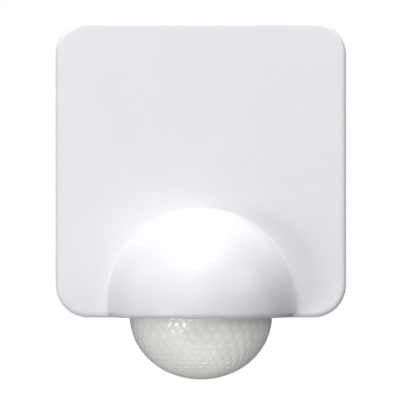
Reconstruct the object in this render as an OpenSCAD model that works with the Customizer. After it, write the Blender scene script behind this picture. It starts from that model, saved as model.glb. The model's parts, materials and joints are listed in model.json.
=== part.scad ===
// Outdoor wall motion sensor: back box, plug-in electronics module with a hanging
// half-dome lens, three adjusting knobs, and a pull-off front cover with a ball-shaped hood.
// Frame: the wall is the plane y = 0, the front faces -Y, X is to the right, +Z is up.
// The origin is the middle of the plate's height and width, on the back face of the back box.
// Names ending in _d that are measured from the wall are distances along -Y.

/* [Front plate] */
// Width of the front plate
plate_w = 80; // [80:0.5:88]
// Height of the front plate
plate_h = 81.5; // [81:0.5:88]
// Radius of the plate's corners
plate_r = 9; // [8:0.5:12]
// Rounding of the plate's front edge
edge_r = 1.6; // [0.8:0.1:1.8]
// Thickness of the cover's walls
cover_wall = 2; // [1.8:0.1:2.2]
// Distance from the wall to the plate's front face
front_d = 40; // [40:0.5:44]

/* [Hood] */
// Outer radius of the ball-shaped hood
hood_r = 25.7; // [25.6:0.1:28]
// Height of the ball's centre above the plate's bottom edge
hood_rise = 3.7; // [3.2:0.1:4.2]
// Width of the collar where the hood meets the plate
hood_collar = 1; // [0.4:0.1:1.2]

/* [Lens] */
// Radius of the lens dome
lens_r = 19.6; // [19:0.1:19.7]
// Drop of the lens dome below its widest place
lens_drop = 17.6; // [15:0.1:20]
// Thickness of the lens
lens_wall = 0.8; // [0.6:0.1:1]

/* [Back box] */
// Depth of the back box
base_d = 17; // [17:0.25:17.5]
// Wall thickness of the box and of the module
shell = 2; // [1.8:0.1:2.1]
// Distance between the two wall screws
screw_span = 60; // [56:1:60]
// Width of the wall-screw slots
slot_w = 4.5; // [4:0.1:5]
// Length of the wall-screw slots
slot_len = 7; // [6:0.5:7]
// Diameter of the cables that the entries grip
cable_d = 8; // [7:0.5:8.5]

/* [Knobs] */
// Diameter of the adjusting knobs
knob_d = 11; // [9:0.5:12]
// Distance between neighbouring knobs
knob_pitch = 19; // [18:0.5:20]
// Height of the knobs above the origin
knob_z = 21; // [20:0.5:22]

/* [Hidden] */
$fn = 72;
// Fineness of the plate's rounded corners
corner_fn = 48;
// Overshoot of a cutting solid past the face that it cuts
past = 1;
// Gap on each side of a piece that only sits in a pocket
play = 0.1;
// Radial clearance of what slides or turns in a bore
running_gap = 0.05;
// How far a post, boss or rib grows into the wall that carries it
root = 0.5;
// Width and depth of the slots of a screw head
driver_slot = 0.6;
driver_depth = 1;

// Inside of the cover, and the boxes that slip into it
inner_w = plate_w - 2 * cover_wall;
inner_h = plate_h - 2 * cover_wall;
inner_r = plate_r - cover_wall;
side_gap = 1;
box_w = inner_w - 2 * side_gap;
box_h = inner_h - 2 * side_gap;
box_r = inner_r - side_gap;
box_low_z = -box_h / 2;
// The cover's rear rim laps over the front of the back box
overlap = 1.5;
skirt_d = base_d - overlap;
back_wall = 2.5;

// Rubber ring between back box and module, and the module's own depth
seal_t = 1.5;
seal_w = 1.4;
module_d = base_d + seal_t;
module_front_d = front_d - cover_wall - 0.5;
lid_t = 1.8;

// Hood: height of the ball's centre, and the turret inside it
hood_z = hood_rise - plate_h / 2;
hood_cavity_r = hood_r - cover_wall;
turret_r = hood_cavity_r - 0.6;
turret_wall = 1.6;
// Gap between the turret and the cover's slot, and from the cover's underside up to the turret's
turret_gap = 0.25;
rim_z = -plate_h / 2 + turret_gap;
plinth_x = sqrt(pow(turret_r, 2) - pow(hood_z - rim_z, 2));
slot_r = turret_r + turret_gap;
// Foot and crown of the collar, in front of and behind the plate's face
collar_root = 0.4;
collar_rise = hood_collar + 0.1;

// Lens seat, from the underside up: ring, flange, rubber seal, shoulder
lens_d = front_d + 0.4;
lens_z = rim_z + 0.2;
lens_bore_r = lens_r - 1.7;
recess_r = lens_r + 1.3;
ring_t = 1.2;
flange_t = 0.8;
lens_seal_t = 0.6;
flange_low_z = rim_z + ring_t;
flange_top_z = flange_low_z + flange_t;
recess_top_z = flange_top_z + lens_seal_t;
turret_floor_z = rim_z + 4;

// Power board, standing upright in the module, with a tongue down to the sensor board
board_t = 1.6;
board_d = 23;
board_face_d = board_d + board_t;
board_w = 66;
board_low_z = -19;
board_high_z = 33.5;
tongue_w = 20;
tongue_low_z = -30.2;
post_x = 29.5;
post_z = [-7.5, 30];
post_r = 2.5;
board_screw_r = 1.08;
board_screw_reach = 5;
board_head_r = 2.2;
board_head_t = 1.6;

// Parts on the power board: [width, depth off the board, height], and the middle in [X, Z]
relay_size = [19, 9.8, 12];
relay_at = [-19, 4];
film_size = [13, 9, 6];
film_at = [0.5, 6.5];
electrolytic_r = 4;
electrolytic_h = 10;
electrolytic_x = [13.5, 23];
electrolytic_z = 5.5;
crimp_d = 1.5;
crimp_w = 0.8;
crimp_depth = 0.4;
varistor_r = 4.6;
varistor_t = 3.6;
varistor_at = [-14, -9];
fuse_r = 4.2;
fuse_h = 7.6;
fuse_at = [3, -8];
choke_r = 4.4;
choke_core_r = 3.2;
choke_flange_t = 1.2;
choke_h = 8;
choke_at = [15, -8];
header_size = [12.8, 3.2, 2.5];

// Sensor board, lying over the lens
sensor_board_t = 1.2;
sensor_board_low_z = -30.2;
sensor_board_top_z = sensor_board_low_z + sensor_board_t;
sensor_board_r = 19;
sensor_board_back_d = board_face_d + 0.7;
rest_r = 1.6;
rest_x = sensor_board_r - 0.2;
holder_r = 14.5;
holder_t = 1.3;
can_z = -34.5;
can_ring_r = 8.8;
can_tilt = 50;
can_turns = [-60, 0, 60];
can_r = 4.1;
can_h = 3.2;
can_window = 3.4;
can_window_depth = 0.3;
cup_r = 5;
cup_h = 9;
bulb_r = 1.5;
bulb_h = 5;
bulb_gap = 0.4;
led_back = 8;

// Terminals: four ways, with the sockets for the module's pins under them
ways = 4;
way_pitch = 10;
way_x = [for (i = [0:ways - 1]) (i - (ways - 1) / 2) * way_pitch];
block_w = ways * way_pitch + 4;
block_top_z = 7;
block_low_z = -21;
block_back_d = 3;
block_front_d = 14;
cage_w = 6;
cage_h = 7;
cage_back_d = 5;
cage_front_d = 11.5;
wire_r = 1.7;
wire_d = 7.2;
terminal_screw_r = 1.5;
terminal_head_r = 2.4;
head_t = 1.6;
funnel_gap = 0.3;
socket_z = -15;
pin_w = 3;
pin_t = 1;
jaw_t = 0.7;
jaw_w = 4;
strip_back_d = 4;
ear_d = 6.5;
ear_t = 2;
block_screw_x = 26;
block_screw_z = -13;
block_screw_r = 1.25;
block_screw_head_r = 2.3;
block_pilot_d = 3.2;
boss_r = 3.2;

// Insulating carrier of the module's pins: a shroud outside the module's back, and a flange inside it
carrier_w = block_w - 2;
carrier_h = 6;
carrier_wall = 1.2;
carrier_reach = 3;
carrier_lip = 1.5;

// Captive screws of the module
fixing_x = 31;
fixing_z = -25;
fixing_r = 1.75;
fixing_head_r = 3.2;
fixing_head_t = 2.2;
fixing_end_d = 6.5;
fixing_sink = 0.8;
column_r = 4;
// The module's own columns run a little into its side walls
module_column_r = column_r + 0.2;

// Knobs and the potentiometers behind them
knob_x = [-knob_pitch, 0, knob_pitch];
knob_t = 2.6;
knob_front_d = module_front_d - 0.4;
cup_wall = 1.6;
cup_floor_d = module_front_d - 3.4;
cup_floor_t = 1.5;
knob_play = 0.4;
shaft_r = 2.5;
rotor_r = 1.5;
trimmer_size = 9.5;
trimmer_h = 4.8;
rotor_floor = 1.5;
grips = 12;
grip_r = 0.45;
knob_slot_w = 1.2;
knob_slot_depth = 1.2;
knob_slot_margin = 1.6;
dimple_r = 0.7;
dimple_depth = 0.6;

// Cable entries
rear_entry_z = 24;
rear_entry_r = 7;
rear_seat_r = rear_entry_r + 1.5;
bottom_entry_d = 9.6;
bottom_entry_r = 6;
lip_t = 1;
cone_h = 2.5;
tip_wall = 1;

// Groove and ring of the foam gasket
gasket_inset = 1;
gasket_w = 1.8;
gasket_t = 1;

// Guide ribs inside the cover: places along the sides and along the top and bottom
rib_w = 1.2;
side_rib_z = 22;
level_rib_x = 26;

// A rectangle with round corners, centred
module rounded(w, h, r) {
    square([w - 2 * r, h], center = true);
    square([w, h - 2 * r], center = true);
    for (x = [-1, 1], z = [-1, 1])
        translate([x * (w / 2 - r), z * (h / 2 - r)]) circle(r);
}

// Turns an outline drawn in X and Z into a slab between two distances from the wall
module slab(from_d, to_d) {
    translate([0, -from_d, 0]) rotate([90, 0, 0]) linear_extrude(to_d - from_d) children();
}

// A round bar along Y between two distances from the wall
module bar(r, from_d, to_d, x = 0, z = 0) {
    translate([x, -from_d, z]) rotate([90, 0, 0]) cylinder(r = r, h = to_d - from_d);
}

// A box given by its limits: half width about x, distances from the wall, heights
module block(half_w, from_d, to_d, low_z, high_z, x = 0) {
    translate([x - half_w, -to_d, low_z]) cube([2 * half_w, to_d - from_d, high_z - low_z]);
}

// Copies its children to the left and the right side
module both_sides(x) {
    for (side = [-1, 1]) translate([side * x, 0, 0]) children();
}

// ---- back box ----

module slot_outline() {
    square([slot_len - slot_w, slot_w], center = true);
    for (side = [-1, 1]) translate([side * (slot_len - slot_w) / 2, 0]) circle(d = slot_w);
}

module gasket_outline() {
    difference() {
        rounded(box_w - 2 * gasket_inset, box_h - 2 * gasket_inset, box_r - gasket_inset);
        rounded(box_w - 2 * (gasket_inset + gasket_w), box_h - 2 * (gasket_inset + gasket_w),
            box_r - gasket_inset - gasket_w);
    }
}

module wall_base() {
    color("white") difference() {
        union() {
            difference() {
                slab(0, base_d) rounded(box_w, box_h, box_r);
                slab(back_wall, base_d + past) rounded(box_w - 2 * shell, box_h - 2 * shell, box_r - shell);
            }
            // Columns for the captive screws, and low bosses under the terminal block's ears
            both_sides(fixing_x) bar(column_r, back_wall - root, base_d - root, 0, fixing_z);
            both_sides(block_screw_x) bar(boss_r, back_wall - root, ear_d, 0, block_screw_z);
        }
        both_sides(screw_span / 2) slab(-past, back_wall + past) slot_outline();
        both_sides(fixing_x) bar(fixing_r + running_gap, fixing_end_d - 1, base_d + past, 0, fixing_z);
        both_sides(block_screw_x) bar(block_screw_r + play, block_pilot_d, ear_d + past, 0, block_screw_z);
        slab(-past, gasket_t) gasket_outline();
        // Rear cable entry with a seat for the grommet's lip, and the entry from below
        bar(rear_entry_r, -past, back_wall + past, 0, rear_entry_z);
        bar(rear_seat_r, -past, lip_t, 0, rear_entry_z);
        translate([0, -bottom_entry_d, box_low_z - past]) cylinder(r = bottom_entry_r, h = shell + 2 * past);
    }
}

module wall_gasket() {
    color("dimgray") slab(0, gasket_t) gasket_outline();
}

// A rubber cable entry drawn along Z: the outer lip starts at z = 0, the wall at lip_t
module grommet(hole_r, wall_t, outer_r, inner_r) {
    waist_top = lip_t + wall_t;
    rotate_extrude() polygon([
        [cable_d / 2, 0],
        [outer_r, 0],
        [outer_r, lip_t],
        [hole_r, lip_t],
        [hole_r, waist_top],
        [inner_r, waist_top],
        [inner_r, waist_top + lip_t],
        [cable_d / 2 + tip_wall, waist_top + lip_t + cone_h],
        [cable_d / 2, waist_top + lip_t + cone_h]
    ]);
}

module rear_grommet() {
    color("dimgray") translate([0, 0, rear_entry_z]) rotate([90, 0, 0])
        grommet(rear_entry_r, back_wall - lip_t, rear_seat_r - play, rear_entry_r + 1);
}

module bottom_grommet() {
    color("dimgray") translate([0, -bottom_entry_d, box_low_z - lip_t])
        grommet(bottom_entry_r, shell, bottom_entry_r + 1.2, bottom_entry_r + 0.5);
}

// ---- terminals ----

module terminal_block() {
    color("gainsboro") difference() {
        union() {
            block(block_w / 2, block_back_d, block_front_d, block_low_z, block_top_z);
            // Ears on the bosses of the back box
            both_sides(block_screw_x) bar(boss_r, ear_d, ear_d + ear_t, 0, block_screw_z);
            block(block_screw_x, ear_d, ear_d + ear_t,
                block_screw_z - boss_r + play, block_screw_z + boss_r - play);
        }
        both_sides(block_screw_x)
            bar(block_screw_r + play, ear_d - past, ear_d + ear_t + past, 0, block_screw_z);
        for (x = way_x) {
            // Cage pocket, screwdriver hole and wire funnel
            block(cage_w / 2 + play, cage_back_d - play, cage_front_d + play,
                -cage_h / 2 - play, cage_h / 2 + play, x);
            bar(terminal_head_r + play, cage_front_d - past, block_front_d + past, x, 0);
            translate([x, -wire_d, 0]) cylinder(r = wire_r + funnel_gap, h = block_top_z + past);
            // Channel for the strip behind the cage, and the socket for the module's pin
            block(jaw_w / 2 + play, strip_back_d - play, cage_back_d + play,
                socket_z - 2.5, cage_h / 2 + play, x);
            block(jaw_w / 2 + play, strip_back_d - play, block_front_d + past,
                socket_z - pin_t / 2 - jaw_t - 2 * play, socket_z + pin_t / 2 + jaw_t + 2 * play, x);
        }
    }
}

module terminal_cages() {
    color("goldenrod") for (x = way_x) difference() {
        block(cage_w / 2, cage_back_d + 0.6, cage_front_d, -cage_h / 2, cage_h / 2, x);
        translate([x, -wire_d, -cage_h / 2 - past]) cylinder(r = wire_r, h = cage_h + 2 * past);
        bar(terminal_screw_r + 0.02, wire_d, cage_front_d + past, x, 0);
    }
}

module terminal_screws() {
    color("silver") for (x = way_x) difference() {
        union() {
            bar(terminal_screw_r, wire_d + wire_r + play, cage_front_d + play, x, 0);
            bar(terminal_head_r, cage_front_d, cage_front_d + head_t, x, 0);
        }
        block(2 * terminal_head_r, cage_front_d + head_t - driver_depth, cage_front_d + head_t + past,
            -driver_slot / 2, driver_slot / 2, x);
    }
}

module contact_strips() {
    jaw_low = pin_t / 2 + play;
    jaw_high = jaw_low + jaw_t;
    color("goldenrod") for (x = way_x) {
        block(jaw_w / 2, strip_back_d, cage_back_d, socket_z - jaw_high, cage_h / 2, x);
        // The two jaws that take a pin between them
        block(jaw_w / 2, strip_back_d, block_front_d - 2, socket_z + jaw_low, socket_z + jaw_high, x);
        block(jaw_w / 2, strip_back_d, block_front_d - 2, socket_z - jaw_high, socket_z - jaw_low, x);
    }
}

module block_screws() {
    color("silver") both_sides(block_screw_x) difference() {
        union() {
            bar(block_screw_r, block_pilot_d + play, ear_d + ear_t + play, 0, block_screw_z);
            bar(block_screw_head_r, ear_d + ear_t, ear_d + ear_t + head_t, 0, block_screw_z);
        }
        cross_recess(0.7 * block_screw_head_r, ear_d + ear_t + head_t, block_screw_z);
    }
}

// A cross-shaped driver recess, cut back from the front of a screw head
module cross_recess(reach, head_front_d, z) {
    half = driver_slot / 2;
    block(reach, head_front_d - driver_depth, head_front_d + past, z - half, z + half);
    block(half, head_front_d - driver_depth, head_front_d + past, z - reach, z + reach);
}

// ---- module shell ----

// The ball inside the hood, kept above one height and in front of one distance from the wall
module ball_part(r, low_z, from_d) {
    intersection() {
        translate([0, -front_d, hood_z]) sphere(r);
        block(2 * hood_r, from_d, front_d + 2 * hood_r, low_z, hood_z + 2 * hood_r);
    }
}

module knob_cup(x) {
    bar(knob_d / 2 + knob_play + cup_wall, cup_floor_d - cup_floor_t, module_front_d - shell / 2, x, knob_z);
}

module module_housing() {
    color("whitesmoke") difference() {
        union() {
            difference() {
                union() {
                    slab(module_d, module_front_d) rounded(box_w, box_h, box_r);
                    block(plinth_x, module_d, front_d, rim_z, box_low_z + shell);
                    ball_part(turret_r, rim_z, module_front_d - shell / 2);
                }
                slab(module_d - past, module_front_d - shell)
                    rounded(box_w - 2 * shell, box_h - 2 * shell, box_r - shell);
                ball_part(turret_r - turret_wall, turret_floor_z, module_front_d - shell - past);
            }
            for (x = knob_x) knob_cup(x);
            for (z = post_z) both_sides(post_x) bar(post_r, board_face_d, module_front_d - shell / 2, 0, z);
            both_sides(fixing_x) bar(module_column_r, module_d, module_front_d - shell / 2, 0, fixing_z);
            // Rests for the sensor board
            both_sides(rest_x) translate([0, -front_d, turret_floor_z - root])
                cylinder(r = rest_r, h = sensor_board_low_z - turret_floor_z + root);
        }
        for (x = knob_x) {
            bar(knob_d / 2 + knob_play, cup_floor_d, module_front_d + past, x, knob_z);
            bar(shaft_r + running_gap, cup_floor_d - cup_floor_t - past, cup_floor_d + past, x, knob_z);
        }
        for (z = post_z) both_sides(post_x)
            bar(board_screw_r + 0.02, board_face_d - past, board_face_d + board_screw_reach + 2, 0, z);
        both_sides(fixing_x) {
            bar(fixing_r + 1.5 * play, module_d - past, module_front_d + past, 0, fixing_z);
            bar(fixing_head_r + 3 * play, module_front_d - fixing_head_t - fixing_sink, module_front_d + past,
                0, fixing_z);
        }
        // Seat of the lens
        translate([0, -lens_d, rim_z - past]) {
            cylinder(r = lens_bore_r, h = turret_floor_z - rim_z + 2 * past);
            cylinder(r = recess_r, h = recess_top_z - rim_z + past);
        }
    }
}

module module_back() {
    color("whitesmoke") slab(module_d, module_d + lid_t) difference() {
        rounded(box_w - 2 * (shell + play), box_h - 2 * (shell + play), box_r - shell - play);
        // Window for the pin carrier, and holes for the screw columns
        translate([0, socket_z]) square([carrier_w + 2 * play, carrier_h + 2 * play], center = true);
        for (side = [-1, 1]) translate([side * fixing_x, fixing_z]) circle(module_column_r + play);
    }
}

module pin_carrier() {
    inside_d = module_d + lid_t;
    half_h = carrier_h / 2;
    color("gainsboro") difference() {
        union() {
            block(carrier_w / 2, module_d - carrier_reach, inside_d + root,
                socket_z - half_h, socket_z + half_h);
            block(carrier_w / 2 + carrier_lip, inside_d, inside_d + 2 * root,
                socket_z - half_h - carrier_lip, socket_z + half_h + carrier_lip);
        }
        block(carrier_w / 2 - carrier_wall, module_d - carrier_reach - past, module_d,
            socket_z - half_h + carrier_wall, socket_z + half_h - carrier_wall);
        for (x = way_x)
            block(pin_w / 2 + running_gap, module_d - past, inside_d + 2,
                socket_z - pin_t / 2 - running_gap, socket_z + pin_t / 2 + running_gap, x);
    }
}

module module_seal() {
    color("dimgray") slab(base_d, module_d) difference() {
        rounded(box_w - 0.6, box_h - 0.6, box_r - 0.3);
        rounded(box_w - 0.6 - 2 * seal_w, box_h - 0.6 - 2 * seal_w, box_r - 0.3 - seal_w);
    }
}

module plug_pins() {
    color("goldenrod") for (x = way_x)
        block(pin_w / 2, cage_back_d + 1.5, board_d, socket_z - pin_t / 2, socket_z + pin_t / 2, x);
}

module fixing_screws() {
    head_back_d = module_front_d - fixing_head_t - fixing_sink;
    color("silver") both_sides(fixing_x) difference() {
        union() {
            bar(fixing_r, fixing_end_d, head_back_d + play, 0, fixing_z);
            bar(fixing_head_r, head_back_d, head_back_d + fixing_head_t, 0, fixing_z);
        }
        cross_recess(0.65 * fixing_head_r, head_back_d + fixing_head_t, fixing_z);
    }
}

// ---- electronics ----

module power_board() {
    color("darkgreen") difference() {
        union() {
            block(board_w / 2, board_d, board_face_d, board_low_z, board_high_z);
            block(tongue_w / 2, board_d, board_face_d, tongue_low_z, board_low_z + play);
        }
        for (z = post_z) both_sides(post_x)
            bar(board_screw_r + 2 * play, board_d - past, board_face_d + past, 0, z);
    }
}

module board_screws() {
    color("silver") for (z = post_z) both_sides(post_x) {
        bar(board_screw_r, board_d - play, board_face_d + board_screw_reach, 0, z);
        bar(board_head_r, board_d - board_head_t, board_d, 0, z);
    }
}

// A box standing on the power board
module on_board(size, at) {
    block(size[0] / 2, board_face_d, board_face_d + size[1], at[1] - size[2] / 2, at[1] + size[2] / 2, at[0]);
}

module relay() {
    color("royalblue") on_board(relay_size, relay_at);
}

module film_capacitor() {
    color("gold") on_board(film_size, film_at);
}

module electrolytic_capacitors() {
    crimp_from_d = board_face_d + crimp_d;
    crimp_to_d = crimp_from_d + crimp_w;
    color("midnightblue") for (x = electrolytic_x) difference() {
        bar(electrolytic_r, board_face_d, board_face_d + electrolytic_h, x, electrolytic_z);
        // Crimp groove near the foot
        difference() {
            bar(electrolytic_r + past, crimp_from_d, crimp_to_d, x, electrolytic_z);
            bar(electrolytic_r - crimp_depth, board_face_d, crimp_to_d + past, x, electrolytic_z);
        }
    }
}

module varistor() {
    color("steelblue") translate([varistor_at[0], -board_face_d - varistor_r - 2 * play, varistor_at[1]])
        cylinder(r = varistor_r, h = varistor_t);
}

module fuse() {
    color("saddlebrown") bar(fuse_r, board_face_d, board_face_d + fuse_h, fuse_at[0], fuse_at[1]);
}

module choke() {
    core_from_d = board_face_d + choke_flange_t - play;
    core_to_d = board_face_d + choke_h - choke_flange_t;
    color("black") {
        bar(choke_r, board_face_d, board_face_d + choke_flange_t, choke_at[0], choke_at[1]);
        bar(choke_core_r, core_from_d, core_to_d + play, choke_at[0], choke_at[1]);
        bar(choke_r, core_to_d, board_face_d + choke_h, choke_at[0], choke_at[1]);
    }
}

module trimmers() {
    color("royalblue") for (x = knob_x) difference() {
        on_board([trimmer_size, trimmer_h, trimmer_size], [x, knob_z]);
        bar(rotor_r + running_gap, board_face_d + rotor_floor, board_face_d + trimmer_h + past, x, knob_z);
    }
}

module board_header() {
    color("black") on_board(header_size, [0, sensor_board_top_z + header_size[2] / 2]);
}

// A round board, cut straight where it meets the power board
module sensor_board() {
    color("darkgreen") translate([0, -front_d, sensor_board_low_z]) linear_extrude(sensor_board_t)
        intersection() {
            circle(sensor_board_r);
            translate([-sensor_board_r, -sensor_board_r])
                square([2 * sensor_board_r, sensor_board_r + front_d - sensor_board_back_d]);
        }
}

// Places its children at a sensor can's foot, with -Z along the way that the can looks
module aimed(turn) {
    translate([0, -lens_d, can_z]) rotate([0, 0, turn]) translate([0, -can_ring_r, 0])
        rotate([-can_tilt, 0, 0]) children();
}

module sensor_holder() {
    deep = 20;
    color("black") difference() {
        union() {
            translate([0, -lens_d, sensor_board_low_z - holder_t])
                cylinder(r = holder_r, h = holder_t - play / 2);
            intersection() {
                union() {
                    for (turn = can_turns)
                        aimed(turn) translate([0, 0, past - can_h]) cylinder(r = cup_r, h = cup_h);
                }
                block(deep, lens_d - deep, lens_d + deep, can_z - deep, sensor_board_low_z - play);
            }
        }
        for (turn = can_turns)
            aimed(turn) translate([0, 0, root - deep / 2]) cylinder(r = can_r + play, h = deep / 2);
        // Openings for the light sensor and the lamp
        for (y = [0, led_back])
            translate([0, y - lens_d, can_z - deep / 2]) cylinder(r = bulb_r + bulb_gap, h = deep);
    }
}

module pyro_sensors() {
    color("silver") for (turn = can_turns) aimed(turn) difference() {
        translate([0, 0, -can_h]) cylinder(r = can_r, h = can_h);
        // Window in the can's face
        translate([0, 0, -can_h]) cube([can_window, can_window, 2 * can_window_depth], center = true);
    }
}

// A small round-ended lamp or photodiode hanging from the sensor board
module bulb(y) {
    translate([0, y, sensor_board_low_z - bulb_h]) {
        cylinder(r = bulb_r, h = bulb_h);
        sphere(bulb_r);
    }
}

module light_sensor() {
    color("dimgray") bulb(-lens_d);
}

module status_led() {
    color("red") bulb(led_back - lens_d);
}

// ---- lens ----

module lens_seal() {
    color("dimgray") translate([0, -lens_d, flange_top_z]) difference() {
        cylinder(r = recess_r - play, h = lens_seal_t);
        translate([0, 0, -past]) cylinder(r = lens_bore_r + 4 * play, h = lens_seal_t + 2 * past);
    }
}

// Half an ellipse from the widest place down to the pole, as [radius, height]
function dome_points(r, drop, steps) =
    [for (i = [0:steps]) [r * cos(90 * i / steps), lens_z - drop * sin(90 * i / steps)]];
function reversed(points) = [for (i = [len(points) - 1:-1:0]) points[i]];

module lens_dome() {
    steps = 24;
    inside_r = lens_r - lens_wall;
    color("lightgray") translate([0, -lens_d, 0]) rotate_extrude() polygon(concat(
        [[recess_r - play, flange_top_z], [recess_r - play, flange_low_z], [lens_r, flange_low_z]],
        dome_points(lens_r, lens_drop, steps),
        reversed(dome_points(inside_r, lens_drop - lens_wall, steps)),
        [[inside_r, flange_top_z]]
    ));
}

module lens_ring() {
    color("white") translate([0, -lens_d, rim_z]) difference() {
        cylinder(r = recess_r - running_gap / 2, h = ring_t);
        translate([0, 0, -past]) cylinder(r = lens_r + running_gap, h = ring_t + 2 * past);
    }
}

// ---- knobs ----

module knob(x) {
    difference() {
        union() {
            bar(knob_d / 2, knob_front_d - knob_t, knob_front_d, x, knob_z);
            bar(shaft_r, board_face_d + trimmer_h + 3 * play, knob_front_d - root, x, knob_z);
            bar(rotor_r, board_face_d + rotor_floor + root, board_face_d + trimmer_h + root, x, knob_z);
        }
        // Driver slot, pointer dimple and grip flutes
        block(knob_d / 2 - knob_slot_margin, knob_front_d - knob_slot_depth, knob_front_d + past,
            knob_z - knob_slot_w / 2, knob_z + knob_slot_w / 2, x);
        bar(dimple_r, knob_front_d - dimple_depth, knob_front_d + past,
            x, knob_z + knob_d / 2 - 2 * dimple_r);
        for (i = [0:grips - 1])
            bar(grip_r, knob_front_d - knob_t - past, knob_front_d + past,
                x + knob_d / 2 * cos(360 * i / grips), knob_z + knob_d / 2 * sin(360 * i / grips));
    }
}

module time_knob() {
    color("gray") knob(knob_x[0]);
}

module lux_knob() {
    color("gray") knob(knob_x[1]);
}

module range_knob() {
    color("gray") knob(knob_x[2]);
}

// ---- front cover ----

// One corner of the plate: a round bar whose front edge is rounded
module cap_corner() {
    edge_h = front_d - skirt_d - edge_r;
    rotate_extrude($fn = corner_fn) {
        square([plate_r, edge_h]);
        square([plate_r - edge_r, edge_h + edge_r]);
        intersection() {
            translate([plate_r - edge_r, edge_h]) circle(edge_r, $fn = corner_fn);
            square([plate_r, edge_h + edge_r]);
        }
    }
}

// The plate's outside: a shell that is smooth over its front edge, spanned between the four corners
module rounded_cap() {
    hull()
        for (x = [-1, 1], z = [-1, 1])
            translate([x * (plate_w / 2 - plate_r), -skirt_d, z * (plate_h / 2 - plate_r)])
                rotate([90, 0, 0]) cap_corner();
}

// The collar where the hood meets the plate
module collar() {
    intersection() {
        translate([0, -front_d + collar_root, hood_z]) rotate([90, 0, 0])
            cylinder(r1 = hood_r + hood_collar + collar_root, r2 = hood_r - play,
                h = collar_root + collar_rise);
        block(2 * hood_r, 0, 2 * front_d, -plate_h / 2 + edge_r, hood_z + 2 * hood_r);
    }
}

module guide_ribs() {
    rise = side_gap - play;
    from_d = module_d + past;
    to_d = front_d - cover_wall + root;
    // Middles of the ribs' thickness, with their roots in the walls
    side_x = (inner_w - rise + root) / 2;
    level_z = (inner_h - rise + root) / 2;
    half_t = (rise + root) / 2;
    for (side = [-1, 1], step = [-1, 1]) {
        block(half_t, from_d, to_d,
            step * side_rib_z - rib_w / 2, step * side_rib_z + rib_w / 2, side * side_x);
        block(rib_w / 2, from_d, to_d, side * level_z - half_t, side * level_z + half_t, step * level_rib_x);
    }
}

module front_cover() {
    color("white") {
        difference() {
            union() {
                rounded_cap();
                ball_part(hood_r, -plate_h / 2, front_d - cover_wall / 2);
                collar();
            }
            slab(skirt_d - past, front_d - cover_wall) rounded(inner_w, inner_h, inner_r);
            ball_part(hood_cavity_r, -plate_h / 2 + cover_wall, front_d - cover_wall - past);
            // The slot that passes round the turret when the cover is pulled off
            translate([0, -front_d, -plate_h / 2 - past]) cylinder(r = slot_r, h = cover_wall + 2 * past);
            block(slot_r, skirt_d - past, front_d, -plate_h / 2 - past, -plate_h / 2 + cover_wall + past);
        }
        guide_ribs();
    }
}

wall_base();
wall_gasket();
rear_grommet();
bottom_grommet();
terminal_block();
terminal_cages();
terminal_screws();
contact_strips();
block_screws();
module_housing();
module_back();
module_seal();
pin_carrier();
plug_pins();
fixing_screws();
power_board();
board_screws();
relay();
film_capacitor();
electrolytic_capacitors();
varistor();
fuse();
choke();
trimmers();
board_header();
sensor_board();
sensor_holder();
pyro_sensors();
light_sensor();
status_led();
lens_seal();
lens_dome();
lens_ring();
time_knob();
lux_knob();
range_knob();
front_cover();
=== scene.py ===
"""Looks of the outdoor wall motion sensor.

Smooth meshes for its cover and lens, and a material for every piece.

Frame: metres, the wall is y = 0, the front faces -Y, +Z is up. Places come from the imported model's boxes.
"""

import json
import math

import bmesh
import bpy
import numpy as np
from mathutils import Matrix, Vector


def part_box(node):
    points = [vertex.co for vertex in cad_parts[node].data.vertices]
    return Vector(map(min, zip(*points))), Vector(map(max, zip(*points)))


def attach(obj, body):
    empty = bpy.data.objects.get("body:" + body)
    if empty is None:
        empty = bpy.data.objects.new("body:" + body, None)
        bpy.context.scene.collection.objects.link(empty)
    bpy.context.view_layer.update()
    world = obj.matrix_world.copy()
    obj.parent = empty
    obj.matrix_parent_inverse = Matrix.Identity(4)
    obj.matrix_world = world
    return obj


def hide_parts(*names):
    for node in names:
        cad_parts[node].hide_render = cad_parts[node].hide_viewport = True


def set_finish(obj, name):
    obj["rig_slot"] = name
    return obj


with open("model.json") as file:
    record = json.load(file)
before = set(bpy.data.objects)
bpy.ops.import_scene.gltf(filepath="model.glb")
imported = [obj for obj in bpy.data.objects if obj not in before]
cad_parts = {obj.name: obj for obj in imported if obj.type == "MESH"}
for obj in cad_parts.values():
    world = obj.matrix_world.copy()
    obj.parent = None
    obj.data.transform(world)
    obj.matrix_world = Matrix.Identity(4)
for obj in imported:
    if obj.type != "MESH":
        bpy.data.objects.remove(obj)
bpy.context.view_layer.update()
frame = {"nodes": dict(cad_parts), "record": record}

MM = 0.001
COVER_LOW, COVER_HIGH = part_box("front_cover")
LENS_LOW, LENS_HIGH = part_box("lens_dome")
RING_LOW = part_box("lens_ring")[0]

# Cover, in millimetres: the plate, the walls, and the ball of the hood
PLATE_W = (COVER_HIGH.x - COVER_LOW.x) / MM
PLATE_LOW_Z = COVER_LOW.z / MM
PLATE_HIGH_Z = COVER_HIGH.z / MM
PLATE_R = 9.0
PLATE_EDGE_R = 1.3
WALL = 2.0
HOOD_R = 25.7
HOOD_RISE = 3.7
HOOD_FILLET = 1.0
HOOD_RIM_R = 1.3
SKIRT_Y = COVER_HIGH.y / MM
FRONT_Y = COVER_LOW.y / MM + HOOD_R
HOOD_Z = PLATE_LOW_Z + HOOD_RISE
HOOD_RIM_Z = PLATE_LOW_Z + 0.1
# The turret's slot is a little narrower than the hood's cavity, and is cut on past its floor
SLOT_INSET = 0.35
SLOT_R = HOOD_R - WALL - SLOT_INSET
SLOT_PAST = 1.0
# Distance above the plate's lower edge over which the hood's fillet grows, and its least share there
FILLET_RUN = 2.0
FILLET_LEAST = 0.05
# Roundings of the cavity behind the plate, of the hood's cavity, and of the walls' edges
HOLLOW_R = 0.8
BULGE_R = 0.5
SMALL_R = 0.35
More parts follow.
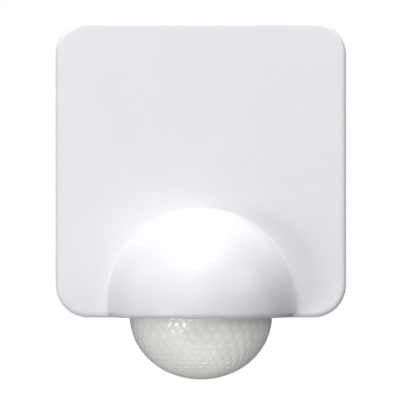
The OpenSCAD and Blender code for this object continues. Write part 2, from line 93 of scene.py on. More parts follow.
# Guide ribs that slide along the module: width, height, root in the wall, and places
RIB_W = 1.2
RIB_TOP = 0.9
RIB_ROOT = 1.0
RIB_FRONT_ROOT = 0.5
RIB_BACK_GAP = 4.0
SIDE_RIB_Z = 22.0
LEVEL_RIB_X = 26.0
# Cell of the grid that the cover's mesh is wrapped on, and the steps that settle it on the surface
GRID_CELL = 0.5
GRID_MARGIN = 3
SETTLE_STEPS = 6
SETTLE_REACH = 0.01
NORMAL_REACH = 0.02
LEAST_SLOPE_SQUARED = 0.2


# ---- solids as distance fields, in millimetres ----

def rounded_join(a, b, r):
    """Union of two distance fields with a concave fillet of radius r."""
    near = np.hypot(np.maximum(r - a, 0), np.maximum(r - b, 0))
    return np.maximum(r, np.minimum(a, b)) - near


def rounded_cut(a, b, r):
    """Intersection of two distance fields with its edge rounded to radius r."""
    near = np.hypot(np.maximum(r + a, 0), np.maximum(r + b, 0))
    return np.minimum(-r, np.maximum(a, b)) + near


def round_rect(x, z, half_w, half_h, r):
    """Distance to a rectangle with round corners, centred on the origin."""
    dx = np.abs(x) - half_w + r
    dz = np.abs(z) - half_h + r
    return np.hypot(np.maximum(dx, 0), np.maximum(dz, 0)) + np.minimum(np.maximum(dx, dz), 0) - r


def box_field(x, y, z, low, high):
    """Distance, near the walls, to a box between two corners."""
    sides = []
    for value, lo, hi in zip((x, y, z), low, high):
        sides.append(lo - value)
        sides.append(value - hi)
    return np.maximum.reduce(np.broadcast_arrays(*sides))


def cover_field(x, y, z):
    """The cover's solid: plate and hood, less the cavity, plus the guide ribs."""
    mid_z = (PLATE_LOW_Z + PLATE_HIGH_Z) / 2
    half_h = (PLATE_HIGH_Z - PLATE_LOW_Z) / 2
    half_w = PLATE_W / 2
    # Outside
    outline = round_rect(x, z - mid_z, half_w, half_h, PLATE_R)
    plate = rounded_cut(outline, FRONT_Y - y, PLATE_EDGE_R)
    ball = np.sqrt(x * x + (y - FRONT_Y) ** 2 + (z - HOOD_Z) ** 2)
    hood = rounded_cut(ball - HOOD_R, HOOD_RIM_Z - z, HOOD_RIM_R)
    fillet = HOOD_FILLET * np.clip((z - PLATE_LOW_Z) / FILLET_RUN, FILLET_LEAST, 1)
    outside = rounded_join(plate, np.maximum(hood, y - FRONT_Y - WALL / 2), fillet)
    # Cavity, with the slot that passes round the turret
    inner = round_rect(x, z - mid_z, half_w - WALL, half_h - WALL, PLATE_R - WALL)
    hollow = rounded_cut(inner, FRONT_Y + WALL - y, HOLLOW_R)
    bulge = rounded_cut(ball - HOOD_R + WALL, PLATE_LOW_Z + WALL - z, BULGE_R)
    radial = np.hypot(x, np.minimum(y - FRONT_Y, 0))
    slot = np.maximum(radial - SLOT_R, z - PLATE_LOW_Z - WALL - SLOT_PAST)
    cavity = np.minimum(np.minimum(hollow, bulge), slot)
    shell = rounded_cut(outside, -cavity, SMALL_R)
    shell = rounded_cut(shell, y - SKIRT_Y, SMALL_R)
    # Guide ribs
    front_y = FRONT_Y + WALL - RIB_FRONT_ROOT
    back_y = SKIRT_Y - RIB_BACK_GAP
    half_t = RIB_W / 2
    side = box_field(np.abs(x), y, np.abs(z),
                     (half_w - WALL - RIB_TOP, front_y, SIDE_RIB_Z - half_t),
                     (half_w - RIB_ROOT, back_y, SIDE_RIB_Z + half_t))
    level = box_field(np.abs(x), y, np.abs(z - mid_z),
                      (LEVEL_RIB_X - half_t, front_y, half_h - WALL - RIB_TOP),
                      (LEVEL_RIB_X + half_t, back_y, half_h - RIB_ROOT))
    return np.minimum(shell, np.minimum(side, level))


def surface_mesh(name, field, low, high, cell):
    """Wraps a closed mesh of quads round the solid where field is below 0."""
    counts = [int(math.ceil((h - l) / cell)) + GRID_MARGIN for l, h in zip(low, high)]
    axes = [l - cell + cell * np.arange(n) for l, n in zip(low, counts)]
    gx, gy, gz = np.meshgrid(*axes, indexing="ij")
    values = field(gx, gy, gz)
    inside = values < 0
    # One vertex for each grid cell that the surface passes through
    corners = [inside[i:counts[0] - 1 + i, j:counts[1] - 1 + j, k:counts[2] - 1 + k]
               for i in (0, 1) for j in (0, 1) for k in (0, 1)]
    count = np.sum(corners, axis=0)
    active = (count > 0) & (count < 8)
    index = -np.ones(active.shape, int)
    index[active] = np.arange(active.sum())
    ijk = np.argwhere(active)
    points = np.array([axes[a][ijk[:, a]] + cell / 2 for a in range(3)]).T
    points = settle(points, field, cell)
    # One quad for each grid edge that crosses the surface
    quads = []
    for axis in range(3):
        u, v = (axis + 1) % 3, (axis + 2) % 3
        first = np.take(inside, range(counts[axis] - 1), axis)
        second = np.take(inside, range(1, counts[axis]), axis)
        crossing = np.argwhere(first != second)
        crossing = crossing[(crossing[:, u] > 0) & (crossing[:, v] > 0)]
        starts_in = first[tuple(crossing.T)]
        ring = []
        for du, dv in ((-1, -1), (0, -1), (0, 0), (-1, 0)):
            shifted = crossing.copy()
            shifted[:, u] += du
            shifted[:, v] += dv
            ring.append(index[tuple(shifted.T)])
        ring = np.array(ring).T
        ring[~starts_in] = ring[~starts_in][:, ::-1]
        quads.append(ring)
    quads = np.concatenate(quads)
    mesh = bpy.data.meshes.new(name)
    mesh.from_pydata((points * MM).tolist(), [], quads.tolist())
    return mesh


def gradient(points, field, step):
    """The field's slope at each point, measured over a short step each way."""
    x, y, z = points.T
    slope = [field(x + step * (a == 0), y + step * (a == 1), z + step * (a == 2))
             - field(x - step * (a == 0), y - step * (a == 1), z - step * (a == 2)) for a in range(3)]
    return np.array(slope).T / (2 * step)


def settle(points, field, cell):
    """Moves points on to the surface, by a few steps along the field's slope."""
    for _ in range(SETTLE_STEPS):
        slope = gradient(points, field, SETTLE_REACH)
        size = np.maximum((slope ** 2).sum(1), LEAST_SLOPE_SQUARED)
        step = (field(*points.T) / size)[:, None] * slope
        points = points - np.clip(step, -cell / 2, cell / 2)
    return points


def outward_normals(mesh, field):
    """Unit normals at the mesh's points, from the field's slope, for a smooth gloss."""
    co = np.empty(len(mesh.vertices) * 3)
    mesh.vertices.foreach_get("co", co)
    slope = gradient(co.reshape(-1, 3) / MM, field, NORMAL_REACH)
    slope /= np.maximum(np.linalg.norm(slope, axis=1), 1e-9)[:, None]
    return slope


# ---- helpers for meshes ----

def new_object(name, mesh, body, slot):
    piece = bpy.data.objects.new(name, mesh)
    bpy.context.scene.collection.objects.link(piece)
    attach(piece, body)
    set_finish(piece, slot)
    return piece


def smooth(mesh):
    mesh.polygons.foreach_set("use_smooth", [True] * len(mesh.polygons))


# ---- front cover ----

# Faces that lie this nearly in one plane are joined
FLAT_ANGLE = math.radians(0.05)


def make_cover():
    low = (COVER_LOW.x / MM, COVER_LOW.y / MM, COVER_LOW.z / MM)
    high = (COVER_HIGH.x / MM, COVER_HIGH.y / MM, COVER_HIGH.z / MM)
    mesh = surface_mesh("cover_shell", cover_field, low, high, GRID_CELL)
    shape = bmesh.new()
    shape.from_mesh(mesh)
    bmesh.ops.dissolve_limit(shape, angle_limit=FLAT_ANGLE, verts=shape.verts, edges=shape.edges,
                             use_dissolve_boundaries=False)
    bmesh.ops.triangulate(shape, faces=[f for f in shape.faces if len(f.verts) > 4], ngon_method="BEAUTY")
    shape.to_mesh(mesh)
    shape.free()
    smooth(mesh)
    mesh.normals_split_custom_set_from_vertices(outward_normals(mesh, cover_field).tolist())
    piece = new_object("cover_shell", mesh, "cover", "white_cover")
    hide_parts("front_cover")
    return piece


# ---- lens dome ----

LENS_WALL = 0.8
LENS_R = 19.6
LENS_AXIS_Y = (LENS_LOW.y + LENS_HIGH.y) / 2 / MM
FLANGE_R = (LENS_HIGH.x - LENS_LOW.x) / 2 / MM
FLANGE_TOP_Z = LENS_HIGH.z / MM
FLANGE_T = 0.8
FLANGE_LOW_Z = FLANGE_TOP_Z - FLANGE_T
# The widest place of the dome stands a little above the underside of its ring
DOME_SEAT = 0.2
DOME_Z = RING_LOW.z / MM + DOME_SEAT
DOME_DROP = DOME_Z - LENS_LOW.z / MM
# Honeycomb: cells round the axis, height of a row over a cell's width, and the first row's angle
COLUMNS = 36
ROW_SHARE = 0.86
FIRST_ROW = math.radians(11.9)
# Depth of the grooves, rise of each small lens above them, and width of a groove
GROOVE = 0.02
PILLOW = 0.085
GROOVE_W = 0.2
# Shares of the way from a cell's outline to its middle where its crown has a ring of points
CROWN_RINGS = (0.4, 0.7)
# Cap round the pole: where it starts and ends, its rings of points, the angles from the pole where a
# ring of lenses ends, and how many lenses each ring has
CAP_ANGLE = math.radians(64)
CAP_END = math.radians(89.4)
CAP_RINGS = 44
CAP_EDGES = (3.2, 10, 17.5, 26)
CAP_CELLS = (1, 6, 12, 18)
# Farther than any groove
FAR = 9.0
# Neck and flange: step in from the dome, gap under the flange, and broken edges
NECK_STEP = 0.05
NECK_GAP = 0.15
BROKEN_EDGE = 0.1
# Smooth inside of the dome: rings of points, and where they end
INSIDE_RINGS = 26
INSIDE_END = math.radians(88)
# Points of the honeycomb closer than this are one
WELD = 0.004
# Steepest angle of the table that spreads the honeycomb over the dome, and its length
TABLE_END = math.radians(86)
TABLE_SIZE = 2000


def dome_scale():
    """Tables of the dome's angle against its conformal height, in which a regular honeycomb stays regular."""
    angles = np.linspace(0, TABLE_END, TABLE_SIZE)
    along = np.hypot(LENS_R * np.sin(angles), DOME_DROP * np.cos(angles))
    rate = along / (LENS_R * np.cos(angles))
    heights = np.concatenate([[0], np.cumsum((rate[1:] + rate[:-1]) / 2 * np.diff(angles))])
    return angles, heights


DOME_ANGLES, DOME_HEIGHTS = dome_scale()


def dome_point(turn, angle, sink):
    """A point below the dome's surface, for a turn about the axis and an angle down from its widest place."""
    r = LENS_R * math.cos(angle)
    drop = DOME_DROP * math.sin(angle)
    out = math.hypot(DOME_DROP * math.cos(angle), LENS_R * math.sin(angle))
    r -= sink * DOME_DROP * math.cos(angle) / out
    drop -= sink * LENS_R * math.sin(angle) / out
    return Vector((r * math.sin(turn), LENS_AXIS_Y - r * math.cos(turn), DOME_Z - drop)) * MM


def clipped(polygon, limit, keep_above):
    """A polygon of (turn, height) points, cut at one height."""
    sign = 1 if keep_above else -1
    kept = []
    for (t0, h0), (t1, h1) in zip(polygon, polygon[1:] + polygon[:1]):
        if sign * (h0 - limit) >= 0:
            kept.append((t0, h0))
        if (h0 - limit) * (h1 - limit) < 0:
            share = (limit - h0) / (h1 - h0)
            kept.append((t0 + share * (t1 - t0), limit))
    return kept


def split_edges(polygon, parts):
    points = []
    for (t0, h0), (t1, h1) in zip(polygon, polygon[1:] + polygon[:1]):
        points += [(t0 + (t1 - t0) * i / parts, h0 + (h1 - h0) * i / parts) for i in range(parts)]
    return points


def add_cell(shape, groove, polygon, width):
    """One small lens: a crowned face inside a groove that it shares with its neighbours."""
    outline = split_edges(polygon, 2)
    mid = [sum(p[a] for p in outline) / len(outline) for a in (0, 1)]
    # The last value of each ring is its share in the groove, which the lens's material paints darker as
    # painted shade
    rings = [(0, PILLOW + GROOVE, 1), (GROOVE_W / width, PILLOW, 0.5)]
    rings += [(inset, PILLOW * (1 - inset) ** 2, 0) for inset in CROWN_RINGS]
    loops = []
    for inset, sink, in_groove in rings:
        loop = []
        for turn, height in outline:
            h = height + (mid[1] - height) * inset
            t = turn + (mid[0] - turn) * inset
            angle = float(np.interp(h, DOME_HEIGHTS, DOME_ANGLES))
            vertex = shape.verts.new(dome_point(t, angle, sink))
            vertex[groove] = in_groove
            loop.append(vertex)
        loops.append(loop)
    for outer, inner in zip(loops, loops[1:]):
        for i in range(len(outline)):
            j = (i + 1) % len(outline)
            shape.faces.new((outer[i], outer[j], inner[j], inner[i]))
    centre_angle = float(np.interp(mid[1], DOME_HEIGHTS, DOME_ANGLES))
    centre = shape.verts.new(dome_point(mid[0], centre_angle, 0))
    last = loops[-1]
    for i in range(len(outline)):
        shape.faces.new((last[i], last[(i + 1) % len(outline)], centre))


def boundary_ring(shape, test):
    """The boundary vertices that pass a test, in order round the lens axis."""
    found = [v for v in shape.verts if v.is_boundary and test(v.co)]
    return sorted(found, key=lambda v: math.atan2(v.co.x, LENS_AXIS_Y * MM - v.co.y))


def add_ring(shape, ring, place):
    """Joins a new ring to an old one: place gives the new point for each turn about the axis."""
    turns = [math.atan2(v.co.x, LENS_AXIS_Y * MM - v.co.y) for v in ring]
    fresh = [shape.verts.new(place(t)) for t in turns]
    for i in range(len(ring)):
        j = (i + 1) % len(ring)
        shape.faces.new((ring[i], ring[j], fresh[j], fresh[i]))
    return fresh


def on_circle(r, z):
    return lambda turn: Vector((r * math.sin(turn), LENS_AXIS_Y - r * math.cos(turn), z)) * MM


def cap_sink(turn, angle):
    """Grooves of the few large lenses round the pole: rings of 18, 12 and 6 about one in the middle."""
    distance = math.degrees(math.pi / 2 - angle)
    ring = sum(distance > edge for edge in CAP_EDGES[:-1])
    cells = CAP_CELLS[ring]
    per_degree = math.radians(1) * (LENS_R + DOME_DROP) / 2
    to_ring = min(abs(distance - edge) for edge in CAP_EDGES) * per_degree
    to_side = FAR
    if cells > 1:
        phase = (math.degrees(turn) / 360 * cells + 0.5 * (ring % 2)) % 1
        to_side = min(phase, 1 - phase) * 2 * math.pi * LENS_R * math.cos(angle) / cells
    near = max(0.0, 1 - min(to_ring, to_side) / GROOVE_W)
    return PILLOW + GROOVE * near


def make_lens():
    shape = bmesh.new()
    # Each point's share in a groove, read by the lens's material to paint shade along the grooves
    groove = shape.verts.layers.float.new("groove")
    step = 2 * math.pi / COLUMNS
    pitch = ROW_SHARE * step
    cap_height = float(np.interp(CAP_ANGLE, DOME_ANGLES, DOME_HEIGHTS))
    first = float(np.interp(FIRST_ROW, DOME_ANGLES, DOME_HEIGHTS)) - pitch * 0.5
    rows = int(cap_height / pitch) + 3
    for row in range(-1, rows):
        middle = first + row * pitch
        for column in range(COLUMNS):
            turn = (column + 0.5 * (row % 2)) * step
            hexagon = [(turn, middle - pitch * 2 / 3), (turn + step / 2, middle - pitch / 3),
                       (turn + step / 2, middle + pitch / 3), (turn, middle + pitch * 2 / 3),
                       (turn - step / 2, middle + pitch / 3), (turn - step / 2, middle - pitch / 3)]
            cell = clipped(clipped(hexagon, 0, True), cap_height, False)
            if len(cell) > 2:
                add_cell(shape, groove, cell, LENS_R * step / 2)
    bmesh.ops.remove_doubles(shape, verts=shape.verts, dist=WELD * MM)
    # Neck, flange and the smooth inside, as rings from the honeycomb's upper edge
    inside_r = LENS_R - LENS_WALL
    inside_drop = DOME_DROP - LENS_WALL
    ring = boundary_ring(shape, lambda co: co.z > (DOME_Z - 1) * MM)
    edge = BROKEN_EDGE
    path = [(LENS_R - NECK_STEP, DOME_Z + edge), (LENS_R - NECK_STEP, FLANGE_LOW_Z - NECK_GAP),
            (LENS_R + edge, FLANGE_LOW_Z), (FLANGE_R - edge, FLANGE_LOW_Z), (FLANGE_R, FLANGE_LOW_Z + edge),
            (FLANGE_R, FLANGE_TOP_Z - edge), (FLANGE_R - edge, FLANGE_TOP_Z),
            (inside_r + edge, FLANGE_TOP_Z), (inside_r, FLANGE_TOP_Z - edge)]
    path += [(inside_r * math.cos(a), DOME_Z - inside_drop * math.sin(a))
             for a in np.linspace(0, INSIDE_END, INSIDE_RINGS)]
    for r, z in path:
        ring = add_ring(shape, ring, on_circle(r, z))
    shape.faces.new(ring)
    # Cap round the pole
    ring = boundary_ring(shape, lambda co: co.z < (DOME_Z - 1) * MM)
    for angle in np.linspace(CAP_ANGLE, CAP_END, CAP_RINGS)[1:]:
        ring = add_ring(shape, ring, lambda turn: dome_point(turn, angle, cap_sink(turn, angle)))
    shape.faces.new(ring)
    bmesh.ops.recalc_face_normals(shape, faces=shape.faces)
    mesh = bpy.data.meshes.new("honeycomb_lens")
    shape.to_mesh(mesh)
    shape.free()
    smooth(mesh)
    piece = new_object("honeycomb_lens", mesh, "module", "lens_polyethylene")
    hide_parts("lens_dome")
    return piece


# ---- marks round the knobs ----

# Strokes round each knob, in millimetres from its axis
DIAL_MARKS = 11
DIAL_SWEEP = math.radians(270)
MARK_START_R = 6.7
MARK_LENGTH = 1.3
MARK_W = 0.36
MARK_RISE = 0.16
MARK_SINK = 0.05
MARK_TAPER = 0.08
# The knobs' fronts lie this far behind the module's front
KNOB_RECESS = 0.4


def add_mark(shape, centre, turn, face_y):
    """A raised stroke on the module's front, pointing away from a knob's middle."""
    along = Vector((math.sin(turn), 0, math.cos(turn)))
    across = Vector((math.cos(turn), 0, -math.sin(turn)))
    foot = []
    top = []
    for r, side in ((0, -1), (0, 1), (1, 1), (1, -1)):
        out = MARK_START_R + r * MARK_LENGTH
        place = centre + along * out + across * side * MARK_W / 2
        crown = centre + along * (out - (2 * r - 1) * MARK_TAPER) + across * side * (MARK_W / 2 - MARK_TAPER)
        foot.append(shape.verts.new(Vector((place.x, face_y + MARK_SINK, place.z)) * MM))
        top.append(shape.verts.new(Vector((crown.x, face_y - MARK_RISE, crown.z)) * MM))
    shape.faces.new(top)
    shape.faces.new(foot[::-1])
    for i in range(4):
        j = (i + 1) % 4
        shape.faces.new((foot[i], foot[j], top[j], top[i]))


def make_dial_marks():
    shape = bmesh.new()
    face_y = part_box("time_knob")[0].y / MM - KNOB_RECESS
    for knob in ("time_knob", "lux_knob", "range_knob"):
        low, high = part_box(knob)
        centre = (low + high) / 2 / MM
        for i in range(DIAL_MARKS):
            turn = DIAL_SWEEP * (i / (DIAL_MARKS - 1) - 0.5)
            add_mark(shape, centre, turn, face_y)
    bmesh.ops.recalc_face_normals(shape, faces=shape.faces)
    mesh = bpy.data.meshes.new("dial_marks")
    shape.to_mesh(mesh)
    shape.free()
    return new_object("dial_marks", mesh, "module", "white_housing")


# ---- materials ----

class Finish:
    """A procedural material being built. Sizes of its textures are in millimetres."""

    def __init__(self, slot, **constants):
        self.material = bpy.data.materials.new(slot)
        self.material.use_nodes = True
        self.tree = self.material.node_tree
        self.shader = self.tree.nodes["Principled BSDF"]
        self.coords = self.tree.nodes.new("ShaderNodeTexCoord").outputs["Object"]
        self.normal = None
        for name, value in constants.items():
            self.shader.inputs[name.replace("_", " ")].default_value = value

    def add(self, kind, **inputs):
        node = self.tree.nodes.new(kind)
        for name, value in inputs.items():
            socket = node.inputs[name.replace("_", " ")]
            if isinstance(value, bpy.types.NodeSocket):
                self.tree.links.new(value, socket)
            else:
                socket.default_value = value
        return node

    def place(self, size, stretch=(1, 1, 1)):
        """Coordinates in which one unit is size millimetres, longer along the axes that stretch names."""
        scale = [1 / (size * MM * s) for s in stretch]
        return self.add("ShaderNodeMapping", Vector=self.coords, Scale=scale).outputs[0]

    def noise(self, size, detail=3.0, stretch=(1, 1, 1)):
        place = self.place(size, stretch)
        return self.add("ShaderNodeTexNoise", Vector=place, Scale=1.0, Detail=detail).outputs[0]

    def cells(self, size, feature="F1", stretch=(1, 1, 1)):
        node = self.add("ShaderNodeTexVoronoi", Vector=self.place(size, stretch), Scale=1.0)
        node.feature = feature
        return node.outputs["Distance"]

    def shared(self, name):
        """A value that the mesh carries at its points, or 0 on a mesh without it."""
        node = self.add("ShaderNodeAttribute")
        node.attribute_name = name
        return node.outputs["Fac"]

    def ramp(self, factor, *stops):
        """A colour for each of the stops (position, colour) along a factor."""
        node = self.add("ShaderNodeValToRGB", Fac=factor)
        elements = node.color_ramp.elements
        while len(elements) < len(stops):
            elements.new(0.5)
        for element, (position, colour) in zip(elements, stops):
            element.position = position
            element.color = (*colour, 1)
        return node.outputs[0]

    def span(self, factor, low, high, start=0.3, end=0.7):
        """A value from low to high as the factor goes from start to end."""
        node = self.add("ShaderNodeMapRange", Value=factor)
        for name, value in (("From Min", start), ("From Max", end), ("To Min", low), ("To Max", high)):
            node.inputs[name].default_value = value
        return node.outputs[0]

    def sum(self, a, b, share):
        """The value a plus a share of the value b."""
        scaled = self.add("ShaderNodeMath")
        scaled.operation = "MULTIPLY_ADD"
        self.tree.links.new(b, scaled.inputs[0])
        scaled.inputs[1].default_value = share
        self.tree.links.new(a, scaled.inputs[2])
        return scaled.outputs[0]

    def colour(self, socket):
        self.tree.links.new(socket, self.shader.inputs["Base Color"])
        return self

    def roughness(self, socket):
        self.tree.links.new(socket, self.shader.inputs["Roughness"])
        return self

    def bump(self, height, depth, strength=1.0):
        """Relief of about depth millimetres, on top of any relief that is already there."""
        node = self.add("ShaderNodeBump", Height=height, Distance=depth * MM, Strength=strength)
        if self.normal is not None:
            self.tree.links.new(self.normal, node.inputs["Normal"])
        self.normal = node.outputs[0]
        self.tree.links.new(self.normal, self.shader.inputs["Normal"])
        return self


def shade(colour, factor):
    return tuple(min(c * factor, 1.0) for c in colour)


def moulded(slot, colour, grain, depth, rough, **constants):
    """Injection-moulded plastic: faint clouds of tone, a fine eroded grain and an uneven gloss."""
    finish = Finish(slot, **constants)
    clouds = finish.noise(14, 2.0)
    fine = finish.noise(grain, 2.0)
    finish.colour(finish.ramp(clouds, (0.3, shade(colour, 0.985)), (0.7, shade(colour, 1.01))))
    finish.roughness(finish.span(finish.sum(clouds, fine, 0.5), rough - 0.04, rough + 0.05, 0.45, 1.05))
    finish.bump(finish.noise(22, 1.0), 0.012)
    finish.bump(fine, depth)
    return finish.material


def white_cover():
    return moulded("white_cover", (0.835, 0.82, 0.86), 0.28, 0.006, 0.36, IOR=1.5, Subsurface_Weight=0.12,
                   Subsurface_Radius=(0.0012, 0.001, 0.001), Subsurface_Scale=1.0)


def white_housing():
    return moulded("white_housing", (0.80, 0.80, 0.80), 0.34, 0.014, 0.5, IOR=1.5)


def terminal_plastic():
    return moulded("terminal_plastic", (0.58, 0.59, 0.58), 0.22, 0.012, 0.48, IOR=1.53)


def black_plastic():
    return moulded("black_plastic", (0.022, 0.022, 0.024), 0.25, 0.012, 0.42, IOR=1.5)


def grey_knob():
    return moulded("grey_knob", (0.20, 0.21, 0.23), 0.2, 0.008, 0.38, IOR=1.5)


def relay_blue():
    return moulded("relay_blue", (0.02, 0.07, 0.32), 0.3, 0.006, 0.28, IOR=1.52)


def capacitor_yellow():
    return moulded("capacitor_yellow", (0.62, 0.38, 0.02), 0.35, 0.006, 0.26, IOR=1.52)


def fuse_brown():
    return moulded("fuse_brown", (0.10, 0.045, 0.02), 0.3, 0.01, 0.42, IOR=1.5)


def lens_polyethylene():
    """Milky polyethylene: light soaks in and spreads, with slightly denser and clearer patches, and painted
    shade that darkens the honeycomb's grooves.
    """
    finish = Finish("lens_polyethylene", IOR=1.51, Subsurface_Weight=0.4, Subsurface_Scale=1.0,
                    Subsurface_Radius=(0.0008, 0.0008, 0.0007), Coat_Weight=0.6, Coat_Roughness=0.1)
    clouds = finish.noise(5, 3.0)
    # Painted shade: the colour is made darker where the mesh marks a groove, standing in for the shading of
    # the lens's small facets
    tone = finish.sum(clouds, finish.shared("groove"), -0.25)
    finish.colour(finish.ramp(tone, (0.0, (0.76, 0.755, 0.73)), (0.3, (0.865, 0.86, 0.835)),
                              (0.7, (0.91, 0.905, 0.885))))
    finish.roughness(finish.span(finish.noise(1.2), 0.26, 0.34))
    finish.bump(finish.noise(1.5, 2.0), 0.006)
    return finish.material


def rubber(slot, grain, depth):
    finish = Finish(slot, IOR=1.48)
    dust = finish.noise(3.5, 5.0)
    finish.colour(finish.ramp(dust, (0.35, (0.016, 0.016, 0.017)), (0.75, (0.035, 0.035, 0.036))))
    finish.roughness(finish.span(dust, 0.6, 0.8))
    finish.bump(finish.noise(grain, 3.0), depth)
    return finish.material


def black_rubber():
    return rubber("black_rubber", 0.3, 0.02)


def grey_foam():
    """Closed-cell foam: small pits with lighter walls between them."""
    finish = Finish("grey_foam", IOR=1.4)
    pits = finish.cells(0.45)
    finish.colour(finish.ramp(pits, (0.1, (0.02, 0.02, 0.022)), (0.7, (0.06, 0.06, 0.064))))
    finish.roughness(finish.span(pits, 0.8, 0.95))
    finish.bump(pits, 0.12)
    return finish.material


def metal(slot, colour, tarnish, rough, stretch):
    """Worked metal: drawn lines one way, tarnish in soft patches and a few fine scratches."""
    finish = Finish(slot, Metallic=1.0)
    lines = finish.noise(0.35, 3.0, stretch)
    patches = finish.noise(2.2, 4.0)
    finish.colour(finish.ramp(patches, (0.42, colour), (0.72, tarnish)))
    finish.roughness(finish.span(finish.sum(patches, lines, 0.6), rough - 0.08, rough + 0.12, 0.55, 1.05))
    finish.bump(lines, 0.006)
    finish.bump(finish.cells(1.4, "DISTANCE_TO_EDGE", (6, 6, 1)), 0.004)
    return finish.material


def brass_contacts():
    return metal("brass_contacts", (0.80, 0.57, 0.26), (0.62, 0.42, 0.20), 0.26, (1, 8, 1))


def screw_steel():
    return metal("screw_steel", (0.66, 0.66, 0.67), (0.52, 0.52, 0.50), 0.3, (1, 8, 1))


def sensor_can():
    return metal("sensor_can", (0.72, 0.70, 0.66), (0.62, 0.60, 0.55), 0.2, (1, 1, 8))


def green_board():
    """Circuit board: copper tracks under green solder mask, and a fine weave of glass cloth."""
    finish = Finish("green_board", IOR=1.52, Coat_Weight=0.3, Coat_Roughness=0.15)
    tracks = finish.add("ShaderNodeTexBrick", Vector=finish.place(1.0), Scale=1.0, Mortar_Size=0.14,
                        Brick_Width=7.3, Row_Height=1.7, Mortar_Smooth=0.1)
    tracks.offset = 0.37
    tracks.squash = 0.6
    tracks.squash_frequency = 3
    weave = finish.cells(0.5, stretch=(1, 2, 1))
    finish.colour(finish.ramp(tracks.outputs["Fac"], (0.0, (0.005, 0.07, 0.025)), (1.0, (0.02, 0.15, 0.05))))
    finish.roughness(finish.span(weave, 0.22, 0.34))
    finish.bump(tracks.outputs["Fac"], 0.03)
    finish.bump(weave, 0.004)
    return finish.material


def capacitor_sleeve():
    """Shrink sleeve: tight film with fine rings of strain."""
    finish = Finish("capacitor_sleeve", IOR=1.5, Coat_Weight=0.4, Coat_Roughness=0.12)
    rings = finish.noise(0.5, 2.0, (10, 1, 10))
    finish.colour(finish.ramp(rings, (0.3, (0.008, 0.01, 0.035)), (0.7, (0.014, 0.018, 0.055))))
    finish.roughness(finish.span(rings, 0.22, 0.36))
    finish.bump(rings, 0.015)
    return finish.material


def varistor_blue():
    """Dipped epoxy: thick, uneven and glossy."""
    finish = Finish("varistor_blue", IOR=1.55, Coat_Weight=0.5, Coat_Roughness=0.08)
    lumps = finish.noise(1.8, 2.0)
    finish.colour(finish.ramp(lumps, (0.3, (0.015, 0.09, 0.26)), (0.7, (0.03, 0.13, 0.34))))
    finish.roughness(finish.span(lumps, 0.18, 0.32))
    finish.bump(lumps, 0.12)
    return finish.material


def ferrite_black():
    """Sintered ferrite: dull, with pores."""
    finish = Finish("ferrite_black", IOR=1.8)
    pores = finish.cells(0.3)
    finish.colour(finish.ramp(pores, (0.15, (0.012, 0.012, 0.013)), (0.6, (0.04, 0.04, 0.042))))
    finish.roughness(finish.span(pores, 0.5, 0.7))
    finish.bump(pores, 0.03)
    return finish.material


def epoxy(slot, deep, clear):
    """Tinted clear resin of a small lamp."""
    finish = Finish(slot, IOR=1.55, Transmission_Weight=0.6, Coat_Weight=0.3)
    swirl = finish.noise(1.1, 2.0)
    finish.colour(finish.ramp(swirl, (0.3, deep), (0.7, clear)))
    finish.roughness(finish.span(swirl, 0.08, 0.18))
    finish.bump(swirl, 0.01)
    return finish.material


def dark_epoxy():
    return epoxy("dark_epoxy", (0.02, 0.018, 0.02), (0.05, 0.04, 0.05))


def red_epoxy():
    return epoxy("red_epoxy", (0.42, 0.015, 0.015), (0.62, 0.03, 0.03))


FINISHES = (white_cover, white_housing, lens_polyethylene, grey_foam, black_rubber, terminal_plastic,
            brass_contacts, screw_steel, green_board, relay_blue, capacitor_yellow, capacitor_sleeve,
            varistor_blue, fuse_brown, ferrite_black, black_plastic, sensor_can, dark_epoxy, red_epoxy,
            grey_knob)


# ---- softened edges on the carried-over nodes ----

# Rounding of the nodes' edges, in millimetres, where it isn't the fine one
EDGE_ROUNDING = {"wall_base": 0.3, "module_housing": 0.3, "module_back": 0.25, "lens_ring": 0.15,
                 "terminal_block": 0.2, "relay": 0.35, "film_capacitor": 0.5, "varistor": 1.2}
FINE_ROUNDING = 0.08
SHARP_ANGLE = math.radians(32)
# Points closer than this are one, and faces this nearly in one plane are joined
NODE_WELD = 0.0005
NODE_FLAT_ANGLE = math.radians(0.3)


def soften(node, name):
    """Joins the node's split corners, then rounds its sharp edges a little, as moulds and presses do."""
    weld = node.modifiers.new("weld", "WELD")
    weld.merge_threshold = NODE_WELD * MM
    flat = node.modifiers.new("flat", "DECIMATE")
    flat.decimate_type = "DISSOLVE"
    flat.angle_limit = NODE_FLAT_ANGLE
    bevel = node.modifiers.new("bevel", "BEVEL")
    bevel.width = EDGE_ROUNDING.get(name, FINE_ROUNDING) * MM
    bevel.segments = 2
    bevel.limit_method = "ANGLE"
    bevel.angle_limit = SHARP_ANGLE
    bevel.use_clamp_overlap = True
    normals = node.modifiers.new("normals", "WEIGHTED_NORMAL")
    normals.keep_sharp = True


def dress(pieces):
    materials = {maker.__name__: maker() for maker in FINISHES}
    for part in frame["record"]["subparts"]:
        node = frame["nodes"][part["node"]]
        if node.hide_render:
            continue
        for slot in node.material_slots:
            slot.material = materials[part["material_slot"]]
        soften(node, part["node"])
    for piece in pieces:
        piece.data.materials.append(materials[piece["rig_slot"]])


# ---- stage, light and camera ----

FLOOR_DROP = 3.5
FLOOR_HALF = 6.0
# Camera: distance from the plate, the picture's width over the plate's, and how far off the axis it is
VIEW_DISTANCE = 1.7
VIEW_OVER_PLATE = 1.3775
VIEW_DROP = 8.4 * MM
VIEW_LEFT = 0.25 * MM
SENSOR = 36.0


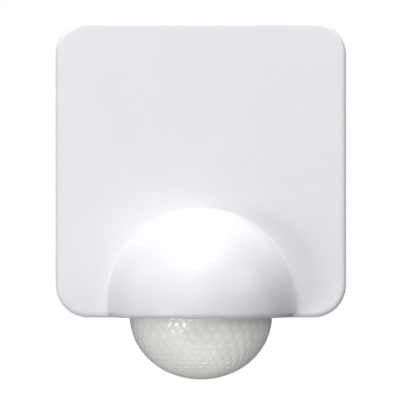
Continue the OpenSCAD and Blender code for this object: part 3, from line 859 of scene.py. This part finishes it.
def make_floor():
    mesh = bpy.data.meshes.new("floor")
    corners = [(x * FLOOR_HALF, y * FLOOR_HALF, -FLOOR_DROP) for x, y in ((-1, -1), (1, -1), (1, 1), (-1, 1))]
    mesh.from_pydata(corners, [], [(0, 1, 2, 3)])
    floor = bpy.data.objects.new("floor", mesh)
    bpy.context.scene.collection.objects.link(floor)
    finish = Finish("pale_floor", Roughness=0.8)
    finish.colour(finish.ramp(finish.noise(400, 3.0), (0.3, (0.78, 0.78, 0.78)), (0.7, (0.82, 0.82, 0.82))))
    mesh.materials.append(finish.material)


def soft_box(name, azimuth, elevation, distance, size, share):
    """A square light aimed at the plate. Azimuth 0 is straight in front, and positive is to the right."""
    turn, rise = math.radians(azimuth), math.radians(elevation)
    away = Vector((math.sin(turn) * math.cos(rise), -math.cos(turn) * math.cos(rise), math.sin(rise)))
    data = bpy.data.lights.new(name, "AREA")
    data.shape = "SQUARE"
    data.size = size
    data.energy = STUDIO * share * distance ** 2
    light = bpy.data.objects.new(name, data)
    bpy.context.scene.collection.objects.link(light)
    light.location = Vector((0, FRONT_Y * MM, 0)) + away * distance
    light.rotation_mode = "QUATERNION"
    light.rotation_quaternion = away.to_track_quat("Z", "Y")
    light.visible_camera = False
    return light


def keep_to(light, piece):
    """Lets a light reach one piece only."""
    reach = bpy.data.collections.new(light.name + "_reach")
    reach.objects.link(piece)
    light.light_linking.receiver_collection = reach


def make_world(background, ambient):
    """White behind the object, and a dimmer even light on it."""
    world = bpy.data.worlds.new("studio")
    bpy.context.scene.world = world
    world.use_nodes = True
    tree = world.node_tree
    seen = tree.nodes["Background"]
    seen.inputs["Color"].default_value = (*background, 1)
    lit = tree.nodes.new("ShaderNodeBackground")
    lit.inputs["Color"].default_value = (*ambient, 1)
    path = tree.nodes.new("ShaderNodeLightPath")
    mix = tree.nodes.new("ShaderNodeMixShader")
    tree.links.new(path.outputs["Is Camera Ray"], mix.inputs["Fac"])
    tree.links.new(lit.outputs[0], mix.inputs[1])
    tree.links.new(seen.outputs[0], mix.inputs[2])
    tree.links.new(mix.outputs[0], tree.nodes["World Output"].inputs["Surface"])


def make_camera():
    data = bpy.data.cameras.new("camera")
    data.sensor_width = SENSOR
    data.lens = SENSOR * VIEW_DISTANCE / (VIEW_OVER_PLATE * PLATE_W * MM)
    data.clip_start = 0.1
    data.clip_end = 20
    camera = bpy.data.objects.new("camera", data)
    bpy.context.scene.collection.objects.link(camera)
    camera.location = (-VIEW_LEFT, FRONT_Y * MM - VIEW_DISTANCE, -VIEW_DROP)
    camera.rotation_euler = (math.pi / 2, 0, 0)
    bpy.context.scene.camera = camera


# Driving strength of the studio's lights, and the even light from all round
STUDIO = 2.1
AMBIENT = 0.1

# Name, azimuth, elevation, distance and size of each light, and its share of the driving strength
LIGHTS = (
    ("overhead", 0, 75, 1.0, 0.8, 4),
    ("key", -20, 45, 1.2, 0.8, 1),
    ("front", -10, 10, 2.0, 1.0, 1),
    ("right", 60, 25, 1.2, 0.6, 1),
    ("side", -40, -15, 1.2, 0.25, 3 / 4),
    ("far_left", -90, 20, 1.2, 0.6, 1 / 2),
    ("low_left", -50, -35, 1.2, 1.0, 1),
    ("below", 0, -80, 1.2, 0.8, 1 / 2),
    ("behind", 180, 25, 1.5, 1.0, 2),
)
# Shines on the lens alone, in place of the light that soaks right through a real one
LENS_LIGHT = ("lens_light", 40, -65, 1.2, 2.0, 1.75)

make_camera()
make_floor()
make_world((1, 1, 1), (AMBIENT, AMBIENT, AMBIENT))
for light in LIGHTS:
    soft_box(*light)
bpy.context.scene.view_settings.view_transform = "Standard"
cover = make_cover()
lens = make_lens()
keep_to(soft_box(*LENS_LIGHT), lens)
dress([cover, lens, make_dial_marks()])
